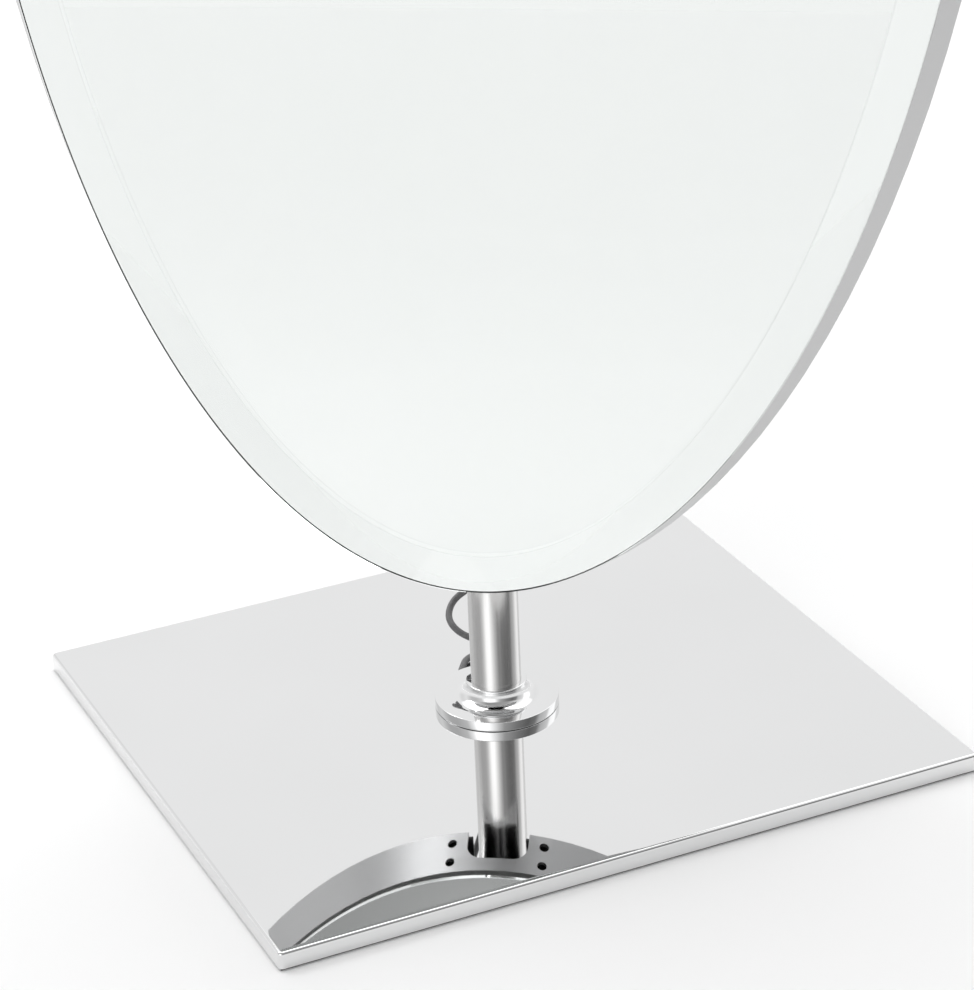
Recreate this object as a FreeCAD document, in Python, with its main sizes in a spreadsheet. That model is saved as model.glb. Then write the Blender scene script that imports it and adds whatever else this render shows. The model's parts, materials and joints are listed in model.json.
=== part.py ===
import FreeCAD, Part
import math
import os
import re
import Sketcher

V = FreeCAD.Vector
doc = FreeCAD.newDocument("countertop_mirror")

# ------------------------------------------------------------------ driving dimensions, mm and degrees
DIMENSIONS = {
    # base tray, its ballast and its pad
    "base_long": 276, "base_deep": 242, "base_high": 7.2, "base_bend": 1.4, "base_corner": 1.8,
    "pad_thick": 0.8, "pad_inset": 0.8, "cover_sheet": 1.2, "well_radius": 15,
    # power inlet at the back edge
    "inlet_high": 3.4, "inlet_wide": 8, "inlet_deep": 9, "inlet_tall": 4.6, "inlet_nose": 2.2,
    "inlet_mouth": 1.75, "inlet_contact": 0.65, "inlet_reach": 8, "inlet_space": 5, "lead_high": 2.2,
    # swivel at the middle of the base
    "stud_radius": 5, "stud_bore": 2.5, "stud_low": 3.6, "stud_top": 27,
    "bush_radius": 7, "bush_lip_radius": 10, "bush_lip": 0.4, "running_gap": 0.04,
    "wave_thick": 0.3, "nut_high": 1.7, "nut_flats": 17, "thrust_thick": 0.4, "thrust_radius": 22,
    # polished flange with its trumpet neck, and the post
    "flange_radius": 23.6, "flange_plate": 3.6, "flange_edge": 0.6, "cove_radius": 16.6,
    "lip_radius": 11.6, "lip_rise": 10.4, "lip_tall": 0.9, "floor_thick": 2.6,
    "post_radius": 9.5, "post_wall": 1.5, "plug_tall": 17,
    # where the light's cable enters the flange's rim, and where it turns to the middle
    "mouth_side": 16.6, "mouth_turn": 9, "corner_radius": 2.4, "lead_slot": 3, "lead_rise": 1.35,
    "lead_radius": 1.2,
    # tilt pivot
    "pivot_high": 122.2, "post_gap": 10, "tongue_half": 5, "tongue_round": 8, "pin_radius": 3,
    "washer_thick": 0.95, "ear_gap": 6, "ear_thick": 2.5, "ear_round": 9,
    "pin_head_radius": 5, "pin_head_tall": 2, "pin_nut_round": 5.6, "pin_nut_tall": 3, "pin_end": 0.2,
    "bracket_low": -12, "bracket_long": 70, "bracket_wide": 56, "bracket_thick": 1.6, "bracket_margin": 5,
    # pose of the head at rest
    "swivel_rest": -33, "tilt_rest": 8.7,
    # oval mirror: half height, half width, and the layers counted forwards from the pivot
    "oval_tall": 401, "oval_wide": 181.5, "tip_drop": 57.6, "glass_edge_front": 19.8,
    "glass_edge": 1.8, "bevel_width": 14.5, "bevel_deep": 2.2, "light_gap": 2,
    "shell_deep": 17.2, "shell_wall": 1.6, "flare_tall": 5, "flare_wide": 8.2, "shell_lip": 1.6,
    "lip_inset": 14, "chassis_inset": 10, "cover_thick": 1.2, "cover_gap": 0.3,
    # notch in the shell's foot that the post stands in, and the holes beside it
    "notch_wide": 23.6, "rear_notch_wide": 20.6, "notch_front": 10.5, "notch_round": 6, "notch_top": 12,
    "vent_radius": 1.8, "vent_side": 17.8, "vent_front": 11.6, "vent_back": 3.4,
    # hood over the pivot
    "hood_wide": 34, "hood_low": -8, "hood_top": 40, "hood_deep": 14.5, "hood_wall": 1.2, "hood_round": 3,
    "tab_long": 16, "tab_wide": 9, "tab_low": 10,
    # pillars and screws
    "pillar_radius": 3, "pillar_inset": 9, "small_screw": 1.5, "large_screw": 2,
    # driver case behind the chassis plate
    "driver_low": 72, "driver_long": 78, "driver_wide": 34, "driver_tall": 9,
    # cable and its gland
    "cable_radius": 1.3, "gland_across": -16, "gland_up": -30, "gland_radius": 3, "collar_radius": 4.4,
    "collar_thick": 2.4, "nose_tip": 2.4, "nose_root": 3.6, "nose_tall": 4, "lock_thick": 1.6,
}
sheet = doc.addObject("Spreadsheet::Sheet", "sizes")
for row, (alias, value) in enumerate(DIMENSIONS.items(), start=1):
    sheet.set(f"A{row}", alias)
    sheet.set(f"B{row}", str(value))
    sheet.setAlias(f"B{row}", alias)
doc.recompute()


def size(alias):
    """The number in the sheet's cell with this alias."""
    return float(sheet.get(alias))


def linked(expression):
    """An expression with each alias pointed at the sheet."""
    return re.sub(r"[a-z_]+", lambda word: "sizes." * (word[0] in DIMENSIONS) + word[0], expression)


def bind(thing, **expressions):
    """Bind properties to expressions; x, y and z bind the placement's base."""
    for name, expression in expressions.items():
        path = f".Placement.Base.{name}" if name in ("x", "y", "z") else name
        thing.setExpression(path, linked(str(expression)))
    return thing


def solid(kind, name, **expressions):
    return bind(doc.addObject("Part::" + kind, name), **expressions)


def cylinder(name, radius, height, **place):
    return solid("Cylinder", name, Radius=radius, Height=height, **place)


def box(name, length, width, height, **place):
    return solid("Box", name, Length=length, Width=width, Height=height, **place)


def cut(name, base, *tools):
    """base less every tool."""
    result = doc.addObject("Part::Cut", name)
    result.Base = base
    result.Tool = tools[0] if len(tools) == 1 else fuse(name + "_tools", *tools)
    return result


def fuse(name, *shapes):
    result = doc.addObject("Part::MultiFuse", name)
    result.Shapes = list(shapes)
    return result


def group(name, *shapes):
    result = doc.addObject("Part::Compound", name)
    result.Links = list(shapes)
    return result


def oval(name, tall, wide, level):
    """An ellipse in the plane Z = level, its long axis along X, centred on the mirror's centre."""
    ring = doc.addObject("Part::Ellipse", name)
    bind(ring, MajorRadius=tall, MinorRadius=wide, x="oval_tall - tip_drop", z=level)
    return ring


def oval_plate(name, inset, low, thick):
    """A flat oval plate whose outline is the glass's, moved in by inset."""
    ring = oval(name + "_line", f"oval_tall - {inset}", f"oval_wide - {inset}", low)
    plate = doc.addObject("Part::Extrusion", name)
    plate.Base = ring
    plate.DirMode = "Custom"
    plate.Dir = V(0, 0, 1)
    plate.Solid = True
    return bind(plate, LengthFwd=thick)


def oval_loft(name, low_line, high_line):
    body = doc.addObject("Part::Loft", name)
    body.Sections = [low_line, high_line]
    body.Solid = True
    body.Ruled = True
    return body


nodes = []


def node(name, thing, placement=None):
    """Name a finished sub-part and put it in place."""
    thing.Label = name
    if placement is not None:
        thing.Placement = placement
    nodes.append(thing)
    return thing


# ------------------------------------------------------------------ frames of the moving bodies
# Post frame: X to the mirror's right, Y to its back, Z up, origin under the post on the counter.
POST = FreeCAD.Placement(V(0, 0, 0), FreeCAD.Rotation(V(0, 0, 1), size("swivel_rest")))
# Face frame: X up the mirror, Y to its left, Z out of its face, origin on the tilt pivot.
FACE_IN_HEAD = FreeCAD.Placement(V(0, 0, 0), FreeCAD.Rotation(V(0, 0, 1), V(-1, 0, 0), V(0, -1, 0), "ZXY"))
TILT = FreeCAD.Placement(V(0, 0, size("pivot_high")), FreeCAD.Rotation(V(1, 0, 0), -size("tilt_rest")))
HEAD = POST.multiply(TILT).multiply(FACE_IN_HEAD)


# ------------------------------------------------------------------ PartDesign helpers
def origin_plane(body, role):
    return next(item for item in body.Origin.OriginFeatures if item.Role == role)


def sketch_on(body, name, role):
    sketch = body.newObject("Sketcher::SketchObject", name)
    sketch.AttachmentSupport = (origin_plane(body, role), [""])
    sketch.MapMode = "FlatFace"
    return sketch


def outline(sketch, corners):
    """A closed polygon whose corners are pairs of expressions, each one a driven distance."""
    points = []
    for across, up in corners:
        points.append(V(evaluate(across), evaluate(up), 0))
    count = len(points)
    for index in range(count):
        sketch.addGeometry(Part.LineSegment(points[index], points[(index + 1) % count]), False)
    for index in range(count):
        sketch.addConstraint(Sketcher.Constraint("Coincident", index, 2, (index + 1) % count, 1))
    for index, pair in enumerate(corners):
        for kind, expression, axis in (("DistanceX", pair[0], -2), ("DistanceY", pair[1], -1)):
            value = evaluate(expression)
            if abs(value) < 1e-9:
                sketch.addConstraint(Sketcher.Constraint("PointOnObject", index, 1, axis))
                continue
            number = sketch.addConstraint(Sketcher.Constraint(kind, -1, 1, index, 1, value))
            sketch.setExpression(f"Constraints[{number}]", linked(expression))


def evaluate(expression):
    return float(sheet.evalExpression(linked(expression).replace("sizes.", "")))


def pad(body, sketch, length):
    feature = body.newObject("PartDesign::Pad", sketch.Name + "_pad")
    feature.Profile = sketch
    return bind(feature, Length=length)


def rectangle(half_long, half_deep):
    return [(f"-( {half_long} )", f"-( {half_deep} )"), (half_long, f"-( {half_deep} )"),
            (half_long, half_deep), (f"-( {half_long} )", half_deep)]


def edges_where(shape, test):
    """Names of the edges whose middle point and direction pass the test."""
    names = []
    for number, edge in enumerate(shape.Edges, start=1):
        middle = edge.valueAt((edge.FirstParameter + edge.LastParameter) / 2)
        direction = edge.tangentAt((edge.FirstParameter + edge.LastParameter) / 2)
        if test(middle, direction):
            names.append(f"Edge{number}")
    return names


def rounded(body, feature, names, radius):
    fillet = body.newObject("PartDesign::Fillet", feature.Name + "_round")
    fillet.Base = (feature, names)
    return bind(fillet, Radius=radius)


# ------------------------------------------------------------------ base
HALF_LONG = "base_long / 2"
HALF_DEEP = "base_deep / 2"
COVER_LOW = "pad_thick"
SHEET_LOW = "base_high - cover_sheet"


def base_cover():
    """Folded sheet tray, open below, with a hole for the swivel and one for the inlet."""
    body = doc.addObject("PartDesign::Body", "cover_body")
    outside = sketch_outline(body, "cover_outer", rectangle(HALF_LONG, HALF_DEEP))
    block = pad(body, outside, "base_high - pad_thick")
    doc.recompute()
    upright = edges_where(block.Shape, lambda middle, along: abs(along.z) > 0.9)
    block = rounded(body, block, upright, "base_corner")
    doc.recompute()
    top = evaluate("base_high - pad_thick")
    rim = edges_where(block.Shape, lambda middle, along: abs(middle.z - top) < 1e-6)
    block = rounded(body, block, rim, "base_bend")
    cavity = rectangle(HALF_LONG + " - cover_sheet", HALF_DEEP + " - cover_sheet")
    inside = sketch_outline(body, "cover_inner", cavity)
    hollow = body.newObject("PartDesign::Pocket", "cover_hollow")
    hollow.Profile = inside
    hollow.Reversed = True
    bind(hollow, Length="base_high - pad_thick - cover_sheet")
    doc.recompute()
    swivel_hole = cylinder("cover_swivel_hole", "bush_radius", "base_high")
    inlet_hole = cylinder("cover_inlet_hole", "inlet_nose + 0.1", "inlet_space",
                          y=HALF_DEEP + " - inlet_space / 2", z="inlet_high - pad_thick")
    inlet_hole.Placement.Rotation = FreeCAD.Rotation(V(1, 0, 0), -90)
    return cut("cover_cut", body, swivel_hole, inlet_hole)


def sketch_outline(body, name, corners, role="XY_Plane"):
    sketch = sketch_on(body, name, role)
    outline(sketch, corners)
    return sketch


def ballast_plate():
    """Steel plate that fills the tray, with a well for the swivel and a groove for the lead."""
    plate = box("ballast_block", "base_long - 2 * cover_sheet", "base_deep - 2 * cover_sheet",
                "base_high - pad_thick - cover_sheet", x=f"cover_sheet - {HALF_LONG}",
                y=f"cover_sheet - {HALF_DEEP}", z=COVER_LOW)
    well = cylinder("ballast_well", "well_radius", "base_high")
    groove = box("ballast_groove", "2 * cable_radius + 0.6", HALF_DEEP, "lead_high + cable_radius + 0.2",
                 x="-( cable_radius + 0.3 )")
    pocket = box("ballast_pocket", "inlet_wide + 0.4", "inlet_deep + inlet_space", "base_high",
                 x="-( inlet_wide / 2 + 0.2 )", y=HALF_DEEP + " - cover_sheet - inlet_deep - 0.2")
    return cut("ballast_cut", plate, well, groove, pocket)


def base_pad():
    return box("pad_block", "base_long - 2 * pad_inset", "base_deep - 2 * pad_inset", "pad_thick",
               x=f"pad_inset - {HALF_LONG}", y=f"pad_inset - {HALF_DEEP}")


def tube(name, outer, inner, low, tall):
    rod = cylinder(name + "_outer", outer, tall, z=low)
    return cut(name, rod, cylinder(name + "_inner", inner, tall, z=low))


def swivel_bush():
    """Flanged bush that lines the tray's hole."""
    sleeve = tube("bush_sleeve", "bush_radius", "stud_radius + running_gap", SHEET_LOW, "cover_sheet")
    lip = tube("bush_lip", "bush_lip_radius", "stud_radius + running_gap", SHEET_LOW + " - bush_lip",
               "bush_lip")
    return fuse("bush", sleeve, lip)


def dc_inlet():
    """Small power socket, its mouth at the back edge."""
    body = box("inlet_body", "inlet_wide", "inlet_deep", "inlet_tall", x="-inlet_wide / 2",
               y=HALF_DEEP + " - cover_sheet - inlet_deep", z="inlet_high - inlet_tall / 2")
    nose = cylinder("inlet_nose", "inlet_nose", "cover_sheet + 0.1", y=HALF_DEEP + " - cover_sheet - 0.1",
                    z="inlet_high")
    mouth = cylinder("inlet_mouth", "inlet_mouth", "inlet_reach", y=HALF_DEEP + " - inlet_reach",
                     z="inlet_high")
    contact = cylinder("inlet_contact", "inlet_contact", "inlet_reach - 1",
                       y=HALF_DEEP + " - inlet_reach - 0.2", z="inlet_high")
    for part in (nose, mouth, contact):
        part.Placement.Rotation = FreeCAD.Rotation(V(1, 0, 0), -90)
    return fuse("inlet", cut("inlet_shell", fuse("inlet_outer", body, nose), mouth), contact)


# ------------------------------------------------------------------ cables
def bent_tube(name, points, radius):
    """A round tube along straight runs joined by tangent arcs, each as large as its runs allow."""
    runs = [end - start for start, end in zip(points, points[1:])]
    edges = []
    at = points[0]
    radii = []
    for index in range(1, len(points) - 1):
        before = runs[index - 1]
        after = runs[index]
        turn = before.getAngle(after)
        reach = 0.45 * min(before.Length, after.Length)
        radii.append(reach / math.tan(turn / 2))
        enter = points[index] - V(before).normalize() * reach
        leave = points[index] + V(after).normalize() * reach
        bow = radii[-1] * (1 / math.cos(turn / 2) - 1)
        inward = (V(after).normalize() - V(before).normalize()).normalize()
        edges.append(Part.LineSegment(at, enter).toShape())
        edges.append(Part.Arc(enter, points[index] + inward * bow, leave).toShape())
        at = leave
    edges.append(Part.LineSegment(at, points[-1]).toShape())
    spine = Part.Wire(edges)
    ring = Part.Wire([Part.Circle(points[0], runs[0], radius).toShape()])
    shape = spine.makePipeShell([ring], True, False)
    ideal = math.pi * radius ** 2 * spine.Length
    print(name, "length", round(spine.Length, 1), "radii", [round(value, 1) for value in radii],
          "volume over section times length", round(shape.Volume / ideal, 4))
    feature = doc.addObject("Part::Feature", name)
    feature.Shape = shape
    return feature


FLANGE_LOW = size("base_high") + size("thrust_thick")
LEAD_LEVEL = FLANGE_LOW + size("lead_rise")         # the lead under the flange
LEAD_JOIN = 5.6                                     # where the turning lead meets the base's lead
LEAD_TURN = V(-size("mouth_side"), size("mouth_turn"), 0)
# The light's cable in the post frame, from the gland to the flange: 2.6 mm across, limp.
CABLE_ROUTE = [
    (-16.0, 2.97, 91.4), (-15.7, 12.3, 90.2), (-13.1, 20.0, 83.0), (-10.0, 23.7, 73.4), (-7.8, 26.1, 62.6),
    (-6.0, 28.8, 52.0), (-7.5, 32.2, 43.4), (-14.0, 32.4, 38.6), (-20.2, 28.8, 35.0), (-21.5, 21.9, 31.0),
    (-17.0, 16.3, 27.9), (-9.3, 15.5, 24.8), (-2.6, 20.0, 20.4), (1.4, 27.0, 15.6), (-1.7, 33.3, 11.4),
    (-9.7, 35.0, 9.2), (-16.1, 30.2, 8.95), (-16.6, 22.4, 8.95), (-16.6, 15.8, 8.95),
]


def light_cable():
    return bent_tube("light_cable", [V(*point) for point in CABLE_ROUTE], size("cable_radius"))


def post_lead():
    """From the flange's mouth, under the flange to the hollow stud and down it."""
    level = V(0, 0, LEAD_LEVEL)
    points = [V(*CABLE_ROUTE[-1]), LEAD_TURN + level, level, V(0, 0, LEAD_JOIN)]
    return bent_tube("post_lead", points, size("lead_radius"))


def base_lead():
    """From under the stud, along the ballast's groove to the inlet."""
    back = evaluate(HALF_DEEP + " - cover_sheet - inlet_deep")
    points = [V(0, 0, LEAD_JOIN), V(0, 0, size("lead_high")), V(0, back, size("lead_high"))]
    return bent_tube("base_lead", points, size("lead_radius"))


# ------------------------------------------------------------------ post
def post_flange():
    """Turned flange: flat rim, trumpet neck and lip, bored for the post and slotted for the lead."""
    body = doc.addObject("PartDesign::Body", "flange_body")
    sketch = sketch_on(body, "flange_profile", "XZ_Plane")
    top = "base_high + thrust_thick + flange_plate"
    low = "base_high + thrust_thick"
    lip = "base_high + lip_rise"
    corners = [
        ("stud_radius + 0.3", low), ("flange_radius - flange_edge", low),
        ("flange_radius", low + " + flange_edge"), ("flange_radius", top + " - flange_edge"),
        ("flange_radius - flange_edge", top), ("cove_radius", top),
    ]
    # the cove is concave, so its points run under the straight line from the rim to the lip
    steps = 5
    for step in range(1, steps):
        share = step / steps
        across = 1 - math.sin(share * math.pi / 2)
        rise = 1 - math.cos(share * math.pi / 2)
        corners.append((f"lip_radius + ( cove_radius - lip_radius ) * {across:.4f}",
                        f"{top} + ( {lip} - lip_tall - ( {top} ) ) * {rise:.4f}"))
    corners += [
        ("lip_radius", lip + " - lip_tall"), ("lip_radius", lip), ("post_radius", lip),
        ("post_radius", low + " + floor_thick"), ("stud_radius + 0.3", low + " + floor_thick"),
    ]
    outline(sketch, corners)
    turned = body.newObject("PartDesign::Revolution", "flange_turned")
    turned.Profile = sketch
    turned.ReferenceAxis = (sketch, ["V_Axis"])
    turned.Angle = 360
    doc.recompute()
    mouth = box("flange_mouth", "lead_slot", "flange_radius - mouth_turn", "lead_slot",
                x="-( mouth_side + lead_slot / 2 )", y="mouth_turn", z=low)
    slot = box("flange_slot", "sqrt(mouth_side ^ 2 + mouth_turn ^ 2)", "lead_slot", "lead_slot")
    slot.Placement.Rotation = FreeCAD.Rotation(V(1, 0, 0), LEAD_TURN)
    slot.Placement.Base = slot.Placement.Rotation.multVec(V(0, -size("lead_slot") / 2, 0))
    corner = cylinder("flange_corner", "corner_radius", "lead_slot", x="-mouth_side", y="mouth_turn", z=low)
    bind(slot, z=low)
    return cut("flange_cut", body, mouth, slot, corner)


def post_tube():
    top = "pivot_high - post_gap"
    low = "base_high + thrust_thick + floor_thick"
    return tube("tube", "post_radius", "post_radius - post_wall", low, f"{top} - ( {low} )")


def foot_plug():
    """Threaded plug in the foot of the post."""
    low = "base_high + thrust_thick + floor_thick"
    return tube("plug", "post_radius - post_wall", "stud_radius", low, "plug_tall")


def pivot_stud():
    """Hollow threaded stud, with a side hole where the lead comes in."""
    rod = tube("stud", "stud_radius", "stud_bore", "stud_low", "stud_top - stud_low")
    side = cylinder("stud_side", "lead_slot / 2", "stud_radius + 1", z="base_high + thrust_thick + lead_rise")
    side.Placement.Rotation = FreeCAD.Rotation(V(0, 0, 1), LEAD_TURN)
    return cut("stud_cut", rod, side)


def wave_washer():
    return tube("wave", "9", "stud_radius + 0.1", SHEET_LOW + " - bush_lip - wave_thick", "wave_thick")


def stud_nut():
    nut = doc.addObject("Part::Prism", "nut_hex")
    nut.Polygon = 6
    bind(nut, Circumradius="nut_flats / 2 / cos(30deg)", Height="nut_high", z="stud_low")
    return cut("nut", nut, cylinder("nut_bore", "stud_radius", "nut_high", z="stud_low"))


def neck_screw():
    """Set screw at the back of the neck, which grips the post."""
    screw = cylinder("neck_pin", "1.2", "lip_radius - post_radius + 0.4", z="base_high + lip_rise - 2.6")
    screw.Placement.Rotation = FreeCAD.Rotation(V(0, 0, 1), V(0, 1, 0))
    bind(screw, y="post_radius")
    return group("neck_screw_set", screw)


def tilt_knuckle():
    """Plug in the post's top with a rounded tongue for the tilt pin."""
    plug = cylinder("knuckle_plug", "post_radius - post_wall", "14", z="pivot_high - post_gap - 14")
    stem = box("knuckle_stem", "2 * tongue_half", "2 * tongue_round", "post_gap + 0.2",
               x="-tongue_half", y="-tongue_round", z="pivot_high - post_gap - 0.2")
    head = cylinder("knuckle_head", "tongue_round", "2 * tongue_half", x="-tongue_half", z="pivot_high")
    hole = cylinder("knuckle_hole", "pin_radius + running_gap", "30", x="-15", z="pivot_high")
    for part in (head, hole):
        part.Placement.Rotation = FreeCAD.Rotation(V(0, 1, 0), 90)
    return cut("knuckle", fuse("knuckle_solid", plug, stem, head), hole)


# ------------------------------------------------------------------ head, in the face frame
GLASS_BACK = "glass_edge_front - glass_edge"
CHASSIS_BACK = "glass_edge_front - glass_edge - light_gap"
SHELL_BACK = "glass_edge_front - glass_edge - light_gap - shell_deep"


def mirror_glass():
    """Oval plate glass with a wide polished bevel on its front."""
    edge = oval_plate("glass_edge_plate", "0", GLASS_BACK, "glass_edge")
    low = oval("bevel_low", "oval_tall", "oval_wide", "glass_edge_front")
    high = oval("bevel_high", "oval_tall - bevel_width", "oval_wide - bevel_width",
                "glass_edge_front + bevel_deep")
    return fuse("glass", edge, oval_loft("glass_bevel", low, high))


def chassis_plate():
    """Plate that the glass is bonded to."""
    return oval_plate("chassis", "chassis_inset", CHASSIS_BACK, "light_gap")


def oval_ring(name, outer_inset, inner_inset, low, thick):
    return cut(name, oval_plate(name + "_outer", outer_inset, low, thick),
               oval_plate(name + "_inner", inner_inset, low, thick))


def led_strip():
    """Strip of lights on the chassis plate's rim."""
    return oval_ring("strip", "( chassis_inset - 1 )", "chassis_inset", CHASSIS_BACK + " + 0.1",
                     "light_gap - 0.2")


def light_diffuser():
    """Milky ring in the gap between the glass and the shell."""
    return oval_ring("diffuser", "3.4", "6", CHASSIS_BACK, "light_gap")


def notch_cutter(name, wide):
    """Space for the post: a slot up from the shell's foot, its front corners rounded."""
    block = box(name + "_block", "tip_drop + flare_tall + 20 + notch_top", wide, "notch_front + 20",
                x="-( tip_drop + flare_tall + 20 )", y=f"-( {wide} / 2 )", z="-20")
    doc.recompute()
    front = size("notch_front")
    found = edges_where(block.Shape,
                        lambda middle, along: abs(along.x) > 0.9 and abs(middle.z - front) < 1e-6)
    fillet = doc.addObject("Part::Fillet", name)
    fillet.Base = block
    radius = size("notch_round")
    fillet.Edges = [(int(edge[4:]), radius, radius) for edge in found]
    return fillet


def shell_line(name, inset, level):
    """The flared shell's outline at a level, moved in by inset."""
    share = f"( ( {CHASSIS_BACK} - ( {level} ) ) / shell_deep )"
    return oval(name, f"oval_tall + 0.4 + ( flare_tall - 0.4 ) * {share} - ( {inset} )",
                f"oval_wide + 0.4 + ( flare_wide - 0.4 ) * {share} - ( {inset} )", level)


def housing_shell():
    """Flared metal rim behind the glass, with a front lip, the post's notch and four vent holes."""
    outer = oval_loft("shell_outer", shell_line("shell_back", "0", SHELL_BACK),
                      shell_line("shell_front", "0", CHASSIS_BACK))
    inner = oval_loft("shell_inner", shell_line("cavity_back", "shell_wall", SHELL_BACK),
                      shell_line("cavity_front", "shell_wall", CHASSIS_BACK + " - shell_lip"))
    opening = oval_plate("shell_opening", "lip_inset", SHELL_BACK, "shell_deep")
    vents = []
    for side in (-1, 1):
        for level in ("vent_front", "vent_back"):
            vent = cylinder("vent", "vent_radius", "12", x="-( tip_drop + 8 )", y=f"{side} * vent_side",
                            z=level)
            vent.Placement.Rotation = FreeCAD.Rotation(V(0, 1, 0), 90)
            vents.append(vent)
    return cut("shell", outer, inner, opening, notch_cutter("shell_notch", "notch_wide"), *vents)


def rear_cover():
    """Oval back plate, let into the shell, with a slot for the post and a hole for the cable."""
    front = shell_line("rear_front", "shell_wall + cover_gap", SHELL_BACK + " + cover_thick")
    plate = doc.addObject("Part::Extrusion", "rear_plate")
    plate.Base = front
    plate.DirMode = "Custom"
    plate.Dir = V(0, 0, -1)
    plate.Solid = True
    bind(plate, LengthFwd="cover_thick")
    hole = cylinder("rear_hole", "gland_radius", "6", x="gland_up", y="-gland_across", z=SHELL_BACK + " - 2")
    pin_space = box("rear_pin_space", "ear_round + 2 + notch_top", "notch_wide", "cover_thick + 2",
                    x="-( ear_round + 2 )", y="-( notch_wide / 2 )", z=SHELL_BACK + " - 1")
    return cut("rear", plate, notch_cutter("rear_notch", "rear_notch_wide"), pin_space, hole)


STANDOFFS = 8


def around_oval(count, inset):
    """Places spread round the oval, clear of the notch at its foot."""
    places = []
    centre = size("oval_tall") - size("tip_drop")
    for index in range(count):
        angle = 2 * math.pi * index / count
        places.append((centre + (size("oval_tall") - inset) * math.cos(angle + math.pi / count),
                       (size("oval_wide") - inset) * math.sin(angle + math.pi / count)))
    return places


def cover_standoffs():
    """Threaded pillars between the shell's lip and the rear cover."""
    pillars = []
    for up, across in around_oval(STANDOFFS, size("pillar_inset")):
        pillar = cylinder("pillar", "pillar_radius", "shell_deep - cover_thick - shell_lip", x=f"{up:.3f}",
                          y=f"{across:.3f}", z=SHELL_BACK + " + cover_thick")
        pillars.append(pillar)
    return group("pillars", *pillars)


def pan_screw(name, up, across, level, radius):
    """Low round-headed screw standing on a surface at the level, its head behind it."""
    head = cylinder(name + "_head", f"{radius} * 1.9", f"{radius} * 1.1", x=up, y=across)
    bind(head, z=f"{level} - {radius} * 1.1")
    socket = doc.addObject("Part::Prism", name + "_socket")
    socket.Polygon = 6
    bind(socket, Circumradius=radius, Height=f"{radius} * 0.7", x=up, y=across, z=f"{level} - {radius} * 1.1")
    return cut(name, head, socket)


def cover_screws():
    screws = []
    for index, (up, across) in enumerate(around_oval(STANDOFFS, size("pillar_inset"))):
        screws.append(pan_screw(f"cover_screw_{index}", f"{up:.3f}", f"{across:.3f}", SHELL_BACK,
                                "small_screw"))
    return group("cover_screw_set", *screws)


def pivot_hood():
    """Raised hood over the pivot, open below for the post."""
    outer = box("hood_outer", "hood_top - hood_low", "hood_wide", f"hood_deep + hood_wall + ( {SHELL_BACK} )",
                x="hood_low", y="-( hood_wide / 2 )", z="-( hood_deep + hood_wall )")
    doc.recompute()
    back = -evaluate("hood_deep + hood_wall")
    top = size("hood_top")
    low = size("hood_low")
    rim = edges_where(outer.Shape, lambda middle, along: abs(middle.z - back) < 1e-6 and middle.x > low
                      or (abs(middle.x - top) < 1e-6 and abs(along.z) > 0.9))
    soft = doc.addObject("Part::Fillet", "hood_soft")
    soft.Base = outer
    soft.Edges = [(int(edge[4:]), size("hood_round"), size("hood_round")) for edge in rim]
    inner = box("hood_inner", "hood_top - hood_low - hood_wall + 10", "hood_wide - 2 * hood_wall",
                f"hood_deep + ( {SHELL_BACK} ) + 1", x="hood_low - 10", y="hood_wall - hood_wide / 2",
                z="-hood_deep")
    tabs = []
    for side in (-1, 1):
        tab = box("hood_tab", "tab_long", "tab_wide + 0.5", "hood_wall", x="tab_low",
                  y="hood_wide / 2 - 0.5" if side > 0 else "-( hood_wide / 2 ) - tab_wide",
                  z=SHELL_BACK + " - hood_wall")
        tabs.append(tab)
    return cut("hood", fuse("hood_solid", soft, *tabs), inner)


def hood_screws():
    screws = []
    for side in (-1, 1):
        screws.append(pan_screw(f"hood_screw_{side + 1}", "tab_low + tab_long / 2",
                                f"{side} * ( hood_wide + tab_wide ) / 2", SHELL_BACK + " - hood_wall",
                                "small_screw"))
    return group("hood_screw_set", *screws)


def tilt_bracket():
    """Plate under the chassis with two ears that hold the tilt pin."""
    plate = box("bracket_plate", "bracket_long", "bracket_wide", "bracket_thick", x="bracket_low",
                y="-bracket_wide / 2", z=CHASSIS_BACK + " - bracket_thick")
    ears = []
    for side in (-1, 1):
        low = "ear_gap" if side > 0 else "-( ear_gap + ear_thick )"
        web = box("ear_web", "2 * ear_round", "ear_thick", CHASSIS_BACK + " - 1", x="-ear_round", y=low)
        disc = cylinder("ear_disc", "ear_round", "ear_thick", y=low)
        disc.Placement.Rotation = FreeCAD.Rotation(V(1, 0, 0), -90)
        ears += [web, disc]
    hole = cylinder("ear_hole", "pin_radius", "40", y="-20")
    hole.Placement.Rotation = FreeCAD.Rotation(V(1, 0, 0), -90)
    return cut("bracket", fuse("bracket_solid", plate, *ears), hole)


def across_cylinder(name, radius, low, length):
    """A cylinder along the tilt axis, from low, in the face frame."""
    pin = cylinder(name, radius, length, y=low)
    pin.Placement.Rotation = FreeCAD.Rotation(V(1, 0, 0), -90)
    return pin


def tilt_pin():
    shank = across_cylinder("pin_shank", "pin_radius", "-( ear_gap + ear_thick )",
                            "2 * ( ear_gap + ear_thick ) + pin_nut_tall + pin_end")
    head = across_cylinder("pin_head", "pin_head_radius", "-( ear_gap + ear_thick + pin_head_tall )",
                           "pin_head_tall")
    return fuse("pin", shank, head)


def friction_washers():
    rings = []
    for side, low in (("left", "tongue_half + 0.02"), ("right", "-( tongue_half + washer_thick + 0.02 )")):
        ring = across_cylinder(side + "_disc", "tongue_round", low, "washer_thick")
        bore = across_cylinder(side + "_bore", "pin_radius", low, "washer_thick")
        rings.append(cut(side + "_washer", ring, bore))
    return group("washers", *rings)


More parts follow.
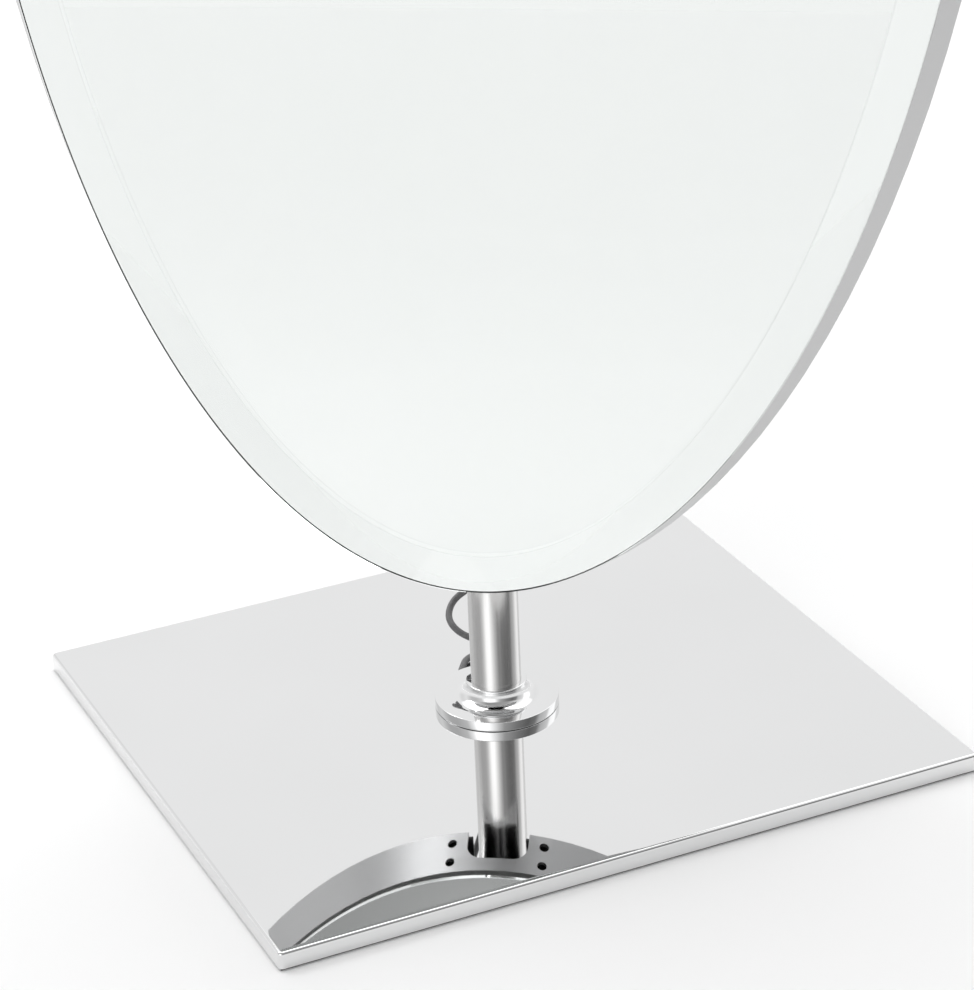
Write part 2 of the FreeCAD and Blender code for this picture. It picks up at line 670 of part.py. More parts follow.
def pin_nut():
    nut = doc.addObject("Part::Prism", "pin_hex")
    nut.Polygon = 6
    nut.Placement.Rotation = FreeCAD.Rotation(V(1, 0, 0), -90)
    bind(nut, Circumradius="pin_nut_round", Height="pin_nut_tall", y="ear_gap + ear_thick")
    bore = across_cylinder("pin_nut_bore", "pin_radius", "ear_gap + ear_thick", "pin_nut_tall")
    return cut("pin_nut_cut", nut, bore)


def bracket_screws():
    screws = []
    for up in ("bracket_low + bracket_margin", "bracket_low + bracket_long - bracket_margin"):
        for across in ("bracket_margin - bracket_wide / 2", "bracket_wide / 2 - bracket_margin"):
            screws.append(pan_screw(f"bracket_screw_{len(screws)}", up, across,
                                    CHASSIS_BACK + " - bracket_thick", "large_screw"))
    return group("bracket_screw_set", *screws)


def led_driver():
    """Driver board's case, fixed to the back of the chassis plate."""
    case = box("driver_case", "driver_long", "driver_wide", "driver_tall", x="driver_low",
               y="-driver_wide / 2", z=CHASSIS_BACK + " - driver_tall")
    return group("driver", case)


def cable_gland():
    """Gland in the rear cover that the light's cable leaves through."""
    place = {"x": "gland_up", "y": "-gland_across"}
    barrel = cylinder("gland_barrel", "gland_radius", "cover_thick + lock_thick", z=SHELL_BACK, **place)
    collar = cylinder("gland_collar", "collar_radius", "collar_thick", z=SHELL_BACK + " - collar_thick",
                      **place)
    nose = solid("Cone", "gland_nose", Radius1="nose_tip", Radius2="nose_root", Height="nose_tall",
                 z=SHELL_BACK + " - collar_thick - nose_tall", **place)
    lock = cylinder("gland_lock", "collar_radius + 0.2", "lock_thick", z=SHELL_BACK + " + cover_thick",
                    **place)
    bore = cylinder("gland_bore", "cable_radius", "20", z=SHELL_BACK + " - 8", **place)
    return cut("gland", fuse("gland_solid", barrel, collar, nose, lock), bore)


# ------------------------------------------------------------------ build every sub-part
node("base_cover", base_cover(), FreeCAD.Placement(V(0, 0, size("pad_thick")), FreeCAD.Rotation()))
for make in (ballast_plate, base_pad, swivel_bush, dc_inlet, base_lead):
    node(make.__name__, make())
node("thrust_washer", tube("thrust", "thrust_radius", "bush_radius", "base_high", "thrust_thick"))
for make in (post_flange, post_tube, foot_plug, pivot_stud, wave_washer, stud_nut, neck_screw, post_lead,
             tilt_knuckle, light_cable):
    node(make.__name__, make(), POST)
for make in (mirror_glass, chassis_plate, led_strip, light_diffuser, housing_shell, rear_cover,
             cover_standoffs, cover_screws, pivot_hood, hood_screws, tilt_bracket, bracket_screws, tilt_pin,
             friction_washers, pin_nut, cable_gland, led_driver):
    node(make.__name__, make(), HEAD)
doc.recompute()

# ------------------------------------------------------------------ check and write
for item in doc.Objects:
    if "Invalid" in item.State or "Error" in item.State:
        raise SystemExit(f"{item.Name} ({item.Label}) failed: {item.State}")
for item in nodes:
    if item.Shape.isNull() or not item.Shape.isValid() or not item.Shape.Solids:
        raise SystemExit(f"{item.Label} has no valid shape")
os.makedirs("parts", exist_ok=True)
for item in nodes:
    item.Shape.exportStep(f"parts/{item.Label}.step")
    bounds = item.Shape.BoundBox
    print(f"{item.Label}: {len(item.Shape.Solids)} solids, {item.Shape.Volume / 1000:.1f} cm3, "
          f"z {bounds.ZMin:.1f} to {bounds.ZMax:.1f}")
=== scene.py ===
import json
import math

import bmesh
import bpy
from mathutils import Matrix, Vector

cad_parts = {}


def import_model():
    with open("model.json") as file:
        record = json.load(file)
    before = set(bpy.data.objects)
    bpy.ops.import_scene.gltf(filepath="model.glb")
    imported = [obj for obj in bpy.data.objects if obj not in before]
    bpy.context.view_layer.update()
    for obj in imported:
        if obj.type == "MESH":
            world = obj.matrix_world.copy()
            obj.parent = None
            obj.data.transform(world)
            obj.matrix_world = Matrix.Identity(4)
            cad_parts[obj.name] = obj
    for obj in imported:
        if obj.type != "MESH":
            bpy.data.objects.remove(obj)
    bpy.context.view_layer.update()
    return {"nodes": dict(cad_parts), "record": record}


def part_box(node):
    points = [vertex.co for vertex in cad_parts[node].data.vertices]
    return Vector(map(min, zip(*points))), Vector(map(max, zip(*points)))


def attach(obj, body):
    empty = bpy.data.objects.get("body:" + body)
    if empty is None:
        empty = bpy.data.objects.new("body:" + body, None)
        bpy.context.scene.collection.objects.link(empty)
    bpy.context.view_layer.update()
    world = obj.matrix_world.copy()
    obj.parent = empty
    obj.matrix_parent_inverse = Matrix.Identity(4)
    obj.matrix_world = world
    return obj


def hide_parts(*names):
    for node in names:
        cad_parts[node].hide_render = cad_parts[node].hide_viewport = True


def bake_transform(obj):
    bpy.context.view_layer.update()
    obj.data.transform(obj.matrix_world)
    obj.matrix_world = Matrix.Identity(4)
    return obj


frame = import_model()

MM = 0.001
SHARP_ANGLE = 30


# ------------------------------------------------------------------ places taken from the frame
def box_of(*nodes):
    lows, highs = zip(*(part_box(name) for name in nodes))
    low = Vector([min(point[i] for point in lows) for i in range(3)])
    high = Vector([max(point[i] for point in highs) for i in range(3)])
    return low, high


TILT_JOINT = next(joint for joint in frame["record"]["behaviour"]["joints"] if joint["name"] == "tilt")
PIVOT = Vector(TILT_JOINT["pos_m"])
TILT_AXIS = Vector(TILT_JOINT["axis"]).normalized()
SWIVEL_REST = math.atan2(TILT_AXIS.y, TILT_AXIS.x)
TILT_REST = math.radians(8.7)
BASE_LOW, BASE_HIGH = box_of("base_cover")
PLATE_TOP = BASE_HIGH.z
POST_FRAME = Matrix.Rotation(SWIVEL_REST, 4, "Z")
# Face frame: X up the mirror, Y to its left, Z out of its face, origin on the tilt pivot.
FACE_AXES = Matrix(((0, -1, 0, 0), (0, 0, -1, 0), (1, 0, 0, 0), (0, 0, 0, 1)))
FACE_FRAME = Matrix.Translation(PIVOT) @ POST_FRAME @ Matrix.Rotation(-TILT_REST, 4, "X") @ FACE_AXES


# ------------------------------------------------------------------ mesh helpers
def make_mesh(name, points, faces, smooth=True):
    mesh = bpy.data.meshes.new(name)
    mesh.from_pydata([tuple(point) for point in points], [], faces)
    mesh.validate()
    mesh.update()
    piece = bpy.data.objects.new(name, mesh)
    bpy.context.collection.objects.link(piece)
    if smooth:
        mesh.polygons.foreach_set("use_smooth", [True] * len(mesh.polygons))
    return piece


def tidy_normals(piece):
    work = bmesh.new()
    work.from_mesh(piece.data)
    bmesh.ops.remove_doubles(work, verts=work.verts, dist=1e-6)
    bmesh.ops.recalc_face_normals(work, faces=work.faces)
    work.to_mesh(piece.data)
    work.free()


def sharpen(piece):
    """Smooth shading that stays sharp at steep edges."""
    limit = math.radians(SHARP_ANGLE)
    work = bmesh.new()
    work.from_mesh(piece.data)
    for edge in work.edges:
        if len(edge.link_faces) == 2:
            edge.smooth = edge.calc_face_angle(0) < limit
    work.to_mesh(piece.data)
    work.free()
    piece.data.polygons.foreach_set("use_smooth", [True] * len(piece.data.polygons))


def rings_to_mesh(name, rings, cap_first=False, cap_last=False):
    """Joins closed rings of equally many points with quads."""
    count = len(rings[0])
    points = [point for ring in rings for point in ring]
    faces = []
    for row in range(len(rings) - 1):
        for index in range(count):
            after = (index + 1) % count
            faces.append((row * count + index, row * count + after, (row + 1) * count + after,
                          (row + 1) * count + index))
    if cap_first:
        faces.append(tuple(reversed(range(count))))
    if cap_last:
        faces.append(tuple(range((len(rings) - 1) * count, len(rings) * count)))
    piece = make_mesh(name, points, faces)
    tidy_normals(piece)
    sharpen(piece)
    return piece


def lathe(name, profile, steps):
    """Turns a closed profile of (radius, height) pairs round Z."""
    rings = []
    for radius, height in profile + profile[:1]:
        ring = []
        for step in range(steps):
            angle = 2 * math.pi * step / steps
            ring.append(Vector((radius * math.cos(angle), radius * math.sin(angle), height)))
        rings.append(ring)
    return rings_to_mesh(name, rings)


def arc(centre, radius, start, end, count):
    """Points on an arc in the profile plane, angles in degrees."""
    points = []
    for step in range(count + 1):
        angle = math.radians(start + (end - start) * step / count)
        points.append((centre[0] + radius * math.cos(angle), centre[1] + radius * math.sin(angle)))
    return points


# ------------------------------------------------------------------ materials
NOISE_RANGE = (0.3, 0.7)
GLASS_IOR = 1.52


def new_material(name):
    material = bpy.data.materials.new(name)
    material.use_nodes = True
    nodes = material.node_tree.nodes
    return material, nodes, material.node_tree.links, nodes["Principled BSDF"]


def noise_node(nodes, links, scale, detail, stretch=(1, 1, 1)):
    """Noise in object space, stretched along the axes."""
    place = nodes.new("ShaderNodeTexCoord")
    mapping = nodes.new("ShaderNodeMapping")
    mapping.inputs["Scale"].default_value = stretch
    texture = nodes.new("ShaderNodeTexNoise")
    texture.inputs["Scale"].default_value = scale
    texture.inputs["Detail"].default_value = detail
    links.new(place.outputs["Object"], mapping.inputs["Vector"])
    links.new(mapping.outputs["Vector"], texture.inputs["Vector"])
    return texture


def ramp(nodes, links, source, low, high):
    """Maps a noise between two greys or two colours."""
    node = nodes.new("ShaderNodeValToRGB")
    for element, position, tone in zip(node.color_ramp.elements, NOISE_RANGE, (low, high)):
        element.position = position
        element.color = (*tone, 1) if isinstance(tone, tuple) else (tone, tone, tone, 1)
    links.new(source.outputs["Fac"], node.inputs["Fac"])
    return node


def bump(nodes, links, source, shader, strength, distance):
    node = nodes.new("ShaderNodeBump")
    node.inputs["Strength"].default_value = strength
    node.inputs["Distance"].default_value = distance
    links.new(source.outputs["Fac"], node.inputs["Height"])
    links.new(node.outputs["Normal"], shader.inputs["Normal"])


def metal(name, dark, light, rough_low, rough_high, scale, stretch=(1, 1, 1), bump_height=0.0,
          anisotropic=0.0):
    """Metal whose tint and roughness vary with one stretched noise."""
    material, nodes, links, shader = new_material(name)
    shader.inputs["Metallic"].default_value = 1
    shader.inputs["Anisotropic"].default_value = anisotropic
    grain = noise_node(nodes, links, scale, 5, stretch)
    tint = ramp(nodes, links, grain, dark, light)
    gloss = ramp(nodes, links, grain, rough_low, rough_high)
    links.new(tint.outputs["Color"], shader.inputs["Base Color"])
    links.new(gloss.outputs["Color"], shader.inputs["Roughness"])
    if bump_height:
        bump(nodes, links, grain, shader, 0.35, bump_height)
    return material


def plastic(name, dark, light, rough_low, rough_high, scale, bump_height=0.0):
    material, nodes, links, shader = new_material(name)
    grain = noise_node(nodes, links, scale, 5)
    tint = ramp(nodes, links, grain, dark, light)
    gloss = ramp(nodes, links, grain, rough_low, rough_high)
    links.new(tint.outputs["Color"], shader.inputs["Base Color"])
    links.new(gloss.outputs["Color"], shader.inputs["Roughness"])
    if bump_height:
        bump(nodes, links, grain, shader, 0.4, bump_height)
    return material


def glass(name, tint_low, tint_high, rough_low, rough_high, scale):
    """Glass with a slight tint and a trace of unevenness."""
    material, nodes, links, shader = new_material(name)
    shader.inputs["Transmission Weight"].default_value = 1
    shader.inputs["IOR"].default_value = GLASS_IOR
    grain = noise_node(nodes, links, scale, 3)
    tint = ramp(nodes, links, grain, tint_low, tint_high)
    gloss = ramp(nodes, links, grain, rough_low, rough_high)
    links.new(tint.outputs["Color"], shader.inputs["Base Color"])
    links.new(gloss.outputs["Color"], shader.inputs["Roughness"])
    return material


POLISHED = metal("polished_steel", (0.765, 0.768, 0.77), (0.785, 0.787, 0.79), 0.012, 0.03, 9)
BRUSHED = metal("brushed_steel", (0.62, 0.615, 0.61), (0.74, 0.735, 0.73), 0.14, 0.22, 420, (1, 1, 0.012),
                bump_height=0.000006, anisotropic=0.3)
SATIN = metal("satin_steel", (0.475, 0.476, 0.479), (0.49, 0.491, 0.494), 0.38, 0.41, 1500)
ZINC = metal("zinc_steel", (0.55, 0.55, 0.56), (0.72, 0.72, 0.74), 0.18, 0.35, 700, bump_height=0.00001)
ALUMINIUM = metal("aluminium", (0.72, 0.72, 0.73), (0.82, 0.82, 0.83), 0.25, 0.4, 600, bump_height=0.00001)
# Black primer. On the chassis plate, rear cover and pivot hood its black is painted shade: it makes the
# notch round the post read dark.
PRIMER_AND_NOTCH_SHADE = plastic("black_primer_and_notch_shade", (0.02, 0.02, 0.02), (0.05, 0.05, 0.05), 0.5, 0.7, 300, 0.00003)
BLACK_PAD = plastic("black_pad", (0.012, 0.012, 0.012), (0.035, 0.035, 0.035), 0.7, 0.9, 900, 0.00005)
BLACK_PLASTIC = plastic("black_plastic", (0.02, 0.02, 0.02), (0.04, 0.04, 0.04), 0.4, 0.55, 800, 0.00002)
JACKET = plastic("cable_jacket", (0.10, 0.10, 0.102), (0.15, 0.15, 0.152), 0.38, 0.55, 500, 0.00003)
WHITE_PLASTIC = plastic("white_plastic", (0.78, 0.78, 0.76), (0.86, 0.86, 0.84), 0.35, 0.5, 400, 0.00002)
STRIP_BOARD = plastic("light_strip", (0.75, 0.74, 0.6), (0.9, 0.9, 0.84), 0.4, 0.6, 300)
FRICTION = plastic("friction_disc", (0.09, 0.07, 0.05), (0.16, 0.13, 0.1), 0.7, 0.9, 900, 0.00004)
SILVER = metal("mirror_silver", (0.875, 0.893, 0.884), (0.885, 0.90, 0.892), 0.0, 0.004, 8)
CLEAR = glass("mirror_glass", (0.985, 0.995, 0.99), (0.99, 0.998, 0.995), 0.0, 0.002, 6)
# The bevel's inner line: a glass strip whose darker grey tint is painted shade, standing in for the dark
# line that refraction draws where the bevel meets the flat face.
BEVEL_LINE_SHADE = glass("bevel_line_painted_shade", (0.82, 0.835, 0.83), (0.88, 0.89, 0.886), 0.02, 0.05, 200)
GLASS_EDGE = metal("glass_edge", (0.88, 0.905, 0.895), (0.92, 0.94, 0.93), 0.02, 0.05, 260)

CAD_MATERIALS = {
    "ballast_plate": PRIMER_AND_NOTCH_SHADE, "base_pad": BLACK_PAD, "swivel_bush": WHITE_PLASTIC,
    "thrust_washer": WHITE_PLASTIC, "dc_inlet": BLACK_PLASTIC, "base_lead": JACKET, "post_lead": JACKET,
    "foot_plug": ALUMINIUM, "pivot_stud": ZINC, "wave_washer": ZINC, "stud_nut": ZINC, "neck_screw": PRIMER_AND_NOTCH_SHADE,
    # The chassis plate's black is painted shade for the notch.
    "tilt_knuckle": ALUMINIUM, "chassis_plate": PRIMER_AND_NOTCH_SHADE, "led_strip": STRIP_BOARD,
    "light_diffuser": WHITE_PLASTIC,
    # The rear cover's and pivot hood's black is painted shade, so the notch round the post reads dark.
    "housing_shell": SATIN, "rear_cover": PRIMER_AND_NOTCH_SHADE, "cover_standoffs": ALUMINIUM, "cover_screws": ZINC,
    "pivot_hood": PRIMER_AND_NOTCH_SHADE, "hood_screws": ZINC, "tilt_bracket": ZINC, "bracket_screws": ZINC,
    "tilt_pin": ZINC,
    "friction_washers": FRICTION, "pin_nut": ZINC, "cable_gland": BLACK_PLASTIC, "led_driver": WHITE_PLASTIC,
    "base_cover": POLISHED, "post_flange": POLISHED, "post_tube": BRUSHED, "mirror_glass": CLEAR,
    "light_cable": JACKET,
}


def dress_cad_nodes():
    for name, thing in frame["nodes"].items():
        thing.data.materials.clear()
        thing.data.materials.append(CAD_MATERIALS[name])


def finish_piece(piece, body, slot, replaced, *materials):
    for material in materials:
        piece.data.materials.append(material)
    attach(piece, body)
    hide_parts(replaced)


# ------------------------------------------------------------------ base tray
def rounded_rectangle(half_long, half_deep, radius, steps=6):
    """Outline points, anticlockwise, with rounded corners."""
    points = []
    for quarter, (side, end) in enumerate(((1, 1), (-1, 1), (-1, -1), (1, -1))):
        centre = Vector((side * (half_long - radius), end * (half_deep - radius)))
        for step in range(steps + 1):
            angle = math.radians(90 * (quarter + step / steps))
            points.append(centre + Vector((math.cos(angle), math.sin(angle))) * radius)
    return points


def base_tray():
    """Folded tray of mirror-polished sheet, its flat top closed by smaller and smaller outlines."""
    half_long = BASE_HIGH.x
    half_deep = BASE_HIGH.y
    bend = 1.4 * MM
    corner = 1.8 * MM
    sheet = 1.2 * MM
    least_corner = 0.05 * MM
    top_corner = 0.3 * MM
    bend_steps = 8
    rings = []

    def ring(inset, height, radius):
        outline = rounded_rectangle(half_long - inset, half_deep - inset, max(radius, least_corner))
        rings.append([Vector((point.x, point.y, height)) for point in outline])

    ring(sheet, BASE_LOW.z, corner - sheet)
    ring(0, BASE_LOW.z, corner)
    ring(0, PLATE_TOP - bend, corner)
    for step in range(1, bend_steps + 1):
        angle = math.radians(90 * step / bend_steps)
        inset = bend * (1 - math.cos(angle))
        ring(inset, PLATE_TOP - bend * (1 - math.sin(angle)), corner - inset)
    for inset in (2.5, 6, 14, 30):
        ring(inset * MM, PLATE_TOP, top_corner)
    piece = rings_to_mesh("base_tray", rings, cap_last=True)
    finish_piece(piece, "base", "polished_steel", "base_cover", POLISHED)


# ------------------------------------------------------------------ post and flange
def turned_flange():
    """Polished flange with a trumpet neck and a small rounded lip."""
    low, high = box_of("post_flange")
    radius = (high.x - low.x) / 2
    bottom = low.z - 0.25 * MM
    lip_top = high.z
    rim_top = low.z + 3.6 * MM
    edge = 0.2 * MM
    lip = 11.6 * MM
    lip_tall = 1.3 * MM
    lip_round = 0.35 * MM
    foot = 16.6 * MM
    cove_steps = 24
    post_low, post_high = box_of("post_tube")
    bore = (post_high.x - post_low.x) / 2 + 0.02 * MM
    profile = [(bore, bottom), (radius - edge, bottom)]
    profile += arc((radius - edge, bottom + edge), edge, -90, 0, 4)[1:]
    profile += arc((radius - edge, rim_top - edge), edge, 0, 90, 5)
    profile += [(foot + 0.9 * MM, rim_top)]
    neck = lip - 0.5 * MM
    neck_top = lip_top - lip_tall
    rise = neck_top - rim_top
    for step in range(1, cove_steps + 1):
        share = step / cove_steps
        across = 1 - math.sin(share * math.pi / 2)
        up = 1 - math.cos(share * math.pi / 2)
        profile.append((neck + (foot - neck) * across, rim_top + rise * up))
    profile += arc((lip - lip_round, neck_top + 0.45 * MM), lip_round, -80, 0, 4)
    profile += arc((lip - lip_round, lip_top - lip_round), lip_round, 0, 90, 5)
    profile += [(bore, lip_top)]
    piece = lathe("turned_flange", profile, steps=220)
    finish_piece(piece, "post", "polished_steel", "post_flange", POLISHED)


def brushed_post():
    low, high = box_of("post_tube")
    outer = (high.x - low.x) / 2
    wall = 1.5 * MM
    inner = outer - wall
    soft = 0.3 * MM
    profile = [(inner, low.z), (outer, low.z), (outer, high.z - soft)]
    profile += arc((outer - soft, high.z - soft), soft, 0, 90, 3)[1:]
    profile += [(inner, high.z)]
    piece = lathe("brushed_post", profile, steps=200)
    finish_piece(piece, "post", "brushed_steel", "post_tube", BRUSHED)


# ------------------------------------------------------------------ mirror
# Half sizes of the oval, and its layers counted forwards from the pivot.
OVAL_TALL = 401 * MM
OVAL_WIDE = 181.5 * MM
TIP_DROP = 57.6 * MM
EDGE_FRONT = 19.8 * MM
EDGE_THICK = 1.8 * MM
BEVEL_WIDTH = 14.5 * MM
BEVEL_DEEP = 2.2 * MM
OVAL_STEPS = 360


def oval_ring(inset, level):
    """Points of the oval, moved in along its own normals, at a level in the face frame."""
    centre = OVAL_TALL - TIP_DROP
    ring = []
    for step in range(OVAL_STEPS):
        angle = 2 * math.pi * step / OVAL_STEPS
        point = Vector((OVAL_TALL * math.cos(angle), OVAL_WIDE * math.sin(angle), 0))
        normal = Vector((math.cos(angle) / OVAL_TALL, math.sin(angle) / OVAL_WIDE, 0)).normalized()
        place = point - normal * inset
        ring.append(FACE_FRAME @ Vector((place.x + centre, place.y, level)))
    return ring


def bevelled_mirror():
    """Silvered plate glass: flat face, polished bevel, the fine line between them (its darker glass is
    painted shade), and the edge.
    """
    back = EDGE_FRONT - EDGE_THICK + 0.1 * MM
    front = EDGE_FRONT + BEVEL_DEEP
    line_wide = 0.25 * MM
    line_deep = 0.05 * MM
    soft_back = 0.3 * MM
    soft_front = 0.2 * MM
    rows = [(soft_back, back), (0, back + soft_back), (0, EDGE_FRONT - soft_front), (soft_front, EDGE_FRONT),
            (BEVEL_WIDTH, front - line_deep), (BEVEL_WIDTH + line_wide, front)]
    rings = [oval_ring(inset, level) for inset, level in rows]
    piece = rings_to_mesh("bevelled_mirror", rings, cap_first=True, cap_last=True)
    for material in (CLEAR, BEVEL_LINE_SHADE, GLASS_EDGE, SILVER):
        piece.data.materials.append(material)
    normal = (FACE_FRAME.to_3x3() @ Vector((0, 0, 1))).normalized()
    origin = FACE_FRAME.translation
    for face in piece.data.polygons:
        level = (face.center - origin).dot(normal)
        facing = face.normal.dot(normal)
        if facing < -0.9:
            face.material_index = 3
        elif facing < 0.9 or level < EDGE_FRONT:
            face.material_index = 2
        # The thin strip at the bevel's inner edge gets the darker glass, painted shade.
        elif facing < 0.9999 and level > front - line_deep - 0.01 * MM:
            face.material_index = 1
        if len(face.vertices) > 4:
            face.use_smooth = False
    finish_piece(piece, "head", "mirror_glass", "mirror_glass")


# ------------------------------------------------------------------ the light's cable
CABLE_RADIUS = 1.3 * MM
# The cable's route in the post frame, in mm, from the gland down to the flange.
CABLE_ROUTE = [
    (-16.0, 2.97, 91.4), (-15.7, 12.3, 90.2), (-13.1, 20.0, 83.0), (-10.0, 23.7, 73.4), (-7.8, 26.1, 62.6),
    (-6.0, 28.8, 52.0), (-7.5, 32.2, 43.4), (-14.0, 32.4, 38.6), (-20.2, 28.8, 35.0), (-21.5, 21.9, 31.0),
    (-17.0, 16.3, 27.9), (-9.3, 15.5, 24.8), (-2.6, 20.0, 20.4), (1.4, 27.0, 15.6), (-1.7, 33.3, 11.4),
    (-9.7, 35.0, 9.2), (-16.1, 30.2, 8.95), (-16.6, 22.4, 8.95), (-16.6, 15.8, 8.95),
]


def route_line(name, points):
    """The smooth line that the cable follows, read from a NURBS spline with the route's points."""
    curve = bpy.data.curves.new(name, "CURVE")
    curve.dimensions = "3D"
    spline = curve.splines.new("NURBS")
    spline.points.add(len(points) - 1)
    for slot, point in zip(spline.points, points):
        slot.co = (point.x, point.y, point.z, 1)
    spline.order_u = 3
    spline.use_endpoint_u = True
    spline.resolution_u = 12
    carrier = bpy.data.objects.new(name, curve)
    bpy.context.collection.objects.link(carrier)
    bpy.context.view_layer.update()
    mesh = bpy.data.meshes.new_from_object(carrier)
    line = [vertex.co.copy() for vertex in mesh.vertices]
    bpy.data.objects.remove(carrier)
    bpy.data.meshes.remove(mesh)
    return line


def tube_along(name, line, radius, sides=16):
    """A round tube round a line of points, with no twist."""
    rings = []
    across = Vector((1, 0, 0))
    for index, point in enumerate(line):
        before = line[max(index - 1, 0)]
        after = line[min(index + 1, len(line) - 1)]
        along = (after - before).normalized()
        across = (across - along * across.dot(along)).normalized()
        other = along.cross(across)
        ring = []
        for side in range(sides):
            angle = 2 * math.pi * side / sides
            ring.append(point + (across * math.cos(angle) + other * math.sin(angle)) * radius)
        rings.append(ring)
    return rings_to_mesh(name, rings, cap_first=True, cap_last=True)


def light_cable():
    points = [POST_FRAME @ (Vector(point) * MM) for point in CABLE_ROUTE]
    line = route_line("cable_line", points)
    piece = tube_along("cable", line, CABLE_RADIUS)
    piece.data.materials.append(JACKET)
    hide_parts("light_cable")
    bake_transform(piece)


# ------------------------------------------------------------------ stage, light and camera
# The camera's turn round the object from straight ahead, its downward pitch, its roll and its distance.
VIEW_TURN = math.radians(-23.98)
VIEW_PITCH = math.radians(25.73)
VIEW_ROLL = math.radians(2.43)
VIEW_DISTANCE = 1.2642
LENS = 120.87
# Slopes, right and down from the camera's axis, of the line to the middle of the base plate.
AIM_RIGHT = 0.00304
AIM_DOWN = 0.06207


def camera():
    data = bpy.data.cameras.new("camera")
    data.sensor_width = 36
    data.lens = LENS
    data.clip_end = 50
    thing = bpy.data.objects.new("camera", data)
    bpy.context.collection.objects.link(thing)
    turn = Matrix.Rotation(VIEW_TURN, 3, "Z")
    forward = turn @ Vector((0, math.cos(VIEW_PITCH), -math.sin(VIEW_PITCH)))
    level_right = turn @ Vector((1, 0, 0))
    level_down = forward.cross(level_right)
    right = level_right * math.cos(VIEW_ROLL) + level_down * math.sin(VIEW_ROLL)
    down = forward.cross(right)
    ray = forward + right * AIM_RIGHT + down * AIM_DOWN
    place = Vector((0, 0, PLATE_TOP)) - ray * VIEW_DISTANCE
    turned = Matrix((right, -down, -forward)).transposed().to_4x4()
    thing.matrix_world = Matrix.Translation(place) @ turned
    bpy.context.scene.camera = thing


def floor():
    half = 60.0
    corners = [(-half, -half, 0), (half, -half, 0), (half, half, 0), (-half, half, 0)]
    piece = make_mesh("floor", corners, [(0, 1, 2, 3)], smooth=False)
    paper = plastic("floor_paper", (0.895, 0.895, 0.895), (0.905, 0.905, 0.905), 0.7, 0.8, 3)
    piece.data.materials.append(paper)


# The studio's brightness round the object, in four bands from the horizon up.
# Each pair is an azimuth in degrees from the camera's side, positive to its right, and a brightness.
LOW_SKY = [(-180, 1.0), (-60, 1.03), (-26, 1.03), (-10, 1.0), (10, 0.98), (60, 0.96), (180, 1.0)]
MIDDLE_SKY = [(-180, 1.0), (-158, 1.0), (-145, 0.85), (-125, 0.95), (-100, 0.62), (-80, 0.6), (-58, 0.75),
              (-46, 1.3), (-38, 1.95), (-22, 1.95), (-12, 1.5), (2, 0.8), (12, 0.45), (36, 0.26),
              (58, 0.16), (74, 0.25), (84, 0.65), (104, 0.9), (112, 1.5), (130, 1.6), (140, 1.0),
              (160, 0.95), (180, 1.0)]
HIGH_SKY = [(-180, 1.9), (-130, 1.6), (-85, 0.75), (-45, 0.36), (0, 0.38), (45, 0.42), (90, 0.9), (130, 1.6),
            (180, 1.9)]
TOP_SKY = [(-180, 3.2), (-100, 2.6), (-50, 0.7), (0, 0.4), (50, 0.7), (100, 2.6), (180, 3.2)]
# Sines of the elevations between which each band gives way to the next.
LOW_TO_MIDDLE = (0.15, 0.32)
MIDDLE_TO_HIGH = (0.61, 0.69)
HIGH_TO_TOP = (0.90, 0.96)


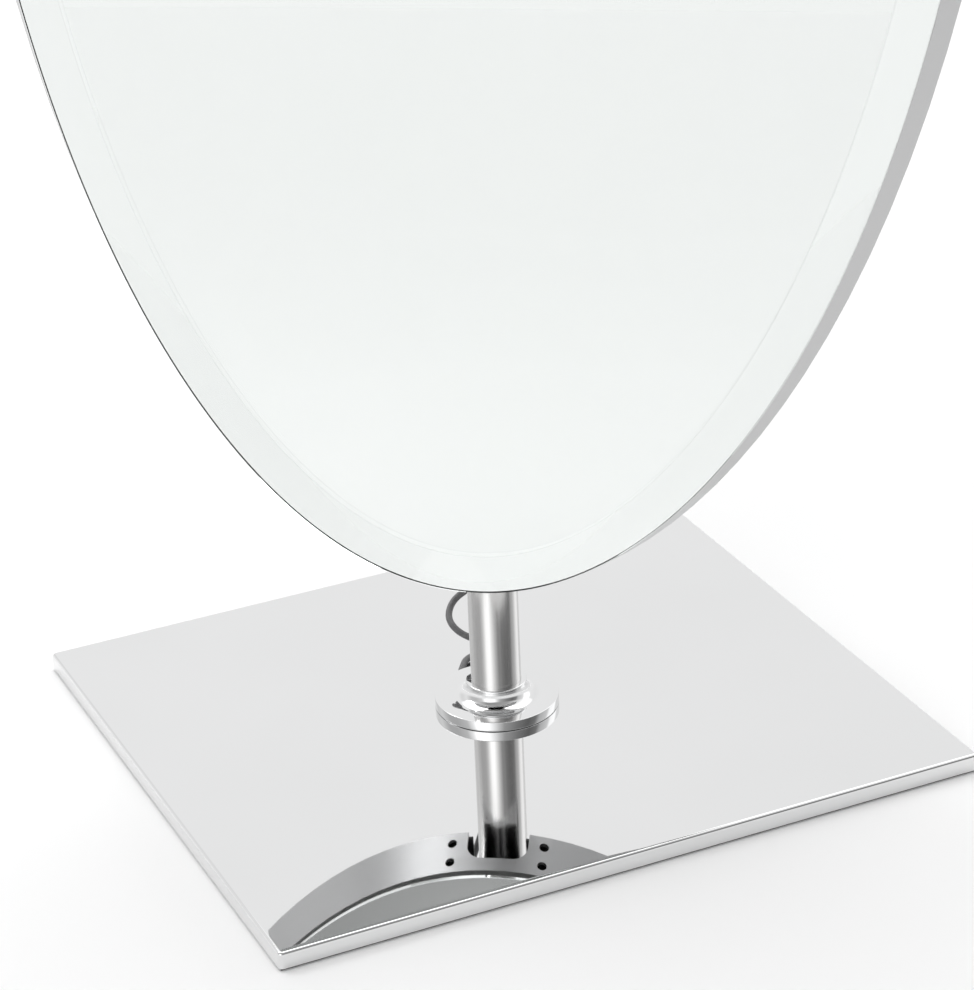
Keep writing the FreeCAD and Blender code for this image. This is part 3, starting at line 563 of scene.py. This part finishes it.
def world():
    """Soft studio built from bands of brightness at four heights."""
    scene_world = bpy.data.worlds.new("studio")
    bpy.context.scene.world = scene_world
    scene_world.use_nodes = True
    nodes = scene_world.node_tree.nodes
    links = scene_world.node_tree.links
    background = nodes["Background"]
    place = nodes.new("ShaderNodeTexCoord")
    turn = nodes.new("ShaderNodeMapping")
    turn.inputs["Rotation"].default_value = (0, 0, -VIEW_TURN)
    links.new(place.outputs["Generated"], turn.inputs["Vector"])
    split = nodes.new("ShaderNodeSeparateXYZ")
    links.new(turn.outputs["Vector"], split.inputs["Vector"])

    def math_node(kind, first, second):
        node = nodes.new("ShaderNodeMath")
        node.operation = kind
        for slot, value in zip(node.inputs, (first, second)):
            if isinstance(value, float):
                slot.default_value = value
            else:
                links.new(value, slot)
        return node.outputs["Value"]

    def stepped(value, stops):
        node = nodes.new("ShaderNodeValToRGB")
        elements = node.color_ramp.elements
        while len(elements) < len(stops):
            elements.new(0.5)
        for element, (position, level) in zip(elements, stops):
            element.position = position
            element.color = (level, level, level, 1)
        links.new(value, node.inputs["Fac"])
        return node.outputs["Color"]

    def blended(share, first, second):
        node = nodes.new("ShaderNodeMixRGB")
        links.new(share, node.inputs["Fac"])
        links.new(first, node.inputs["Color1"])
        links.new(second, node.inputs["Color2"])
        return node.outputs["Color"]

    azimuth = math_node("ARCTAN2", split.outputs["X"], math_node("MULTIPLY", split.outputs["Y"], -1.0))
    round_share = math_node("ADD", math_node("DIVIDE", azimuth, 2 * math.pi), 0.5)
    rise = split.outputs["Z"]
    low, middle, high, top = (stepped(round_share, [(angle / 360 + 0.5, level) for angle, level in band])
                              for band in (LOW_SKY, MIDDLE_SKY, HIGH_SKY, TOP_SKY))
    sky = low
    for (start, end), band in ((LOW_TO_MIDDLE, middle), (MIDDLE_TO_HIGH, high), (HIGH_TO_TOP, top)):
        sky = blended(stepped(rise, [(start, 0), (end, 1)]), sky, band)
    links.new(sky, background.inputs["Color"])


def window_light():
    """Soft window to the left and behind; it brightens the floor on that side."""
    data = bpy.data.lights.new("window", "AREA")
    data.shape = "SQUARE"
    data.size = 0.8
    data.energy = 8
    thing = bpy.data.objects.new("window", data)
    bpy.context.collection.objects.link(thing)
    thing.visible_camera = False
    aside = Matrix.Rotation(VIEW_TURN, 3, "Z") @ Vector((-1, 0.55, 0)).normalized()
    lamp_out = 1.3
    lamp_up = 1.5
    target_out = 0.7
    thing.location = aside * lamp_out + Vector((0, 0, lamp_up))
    target = aside * target_out
    thing.rotation_mode = "QUATERNION"
    thing.rotation_quaternion = (target - thing.location).to_track_quat("-Z", "Y")


# ------------------------------------------------------------------ build
dress_cad_nodes()
base_tray()
turned_flange()
brushed_post()
bevelled_mirror()
light_cable()
floor()
world()
window_light()
camera()
bpy.context.scene.view_settings.view_transform = "Standard"
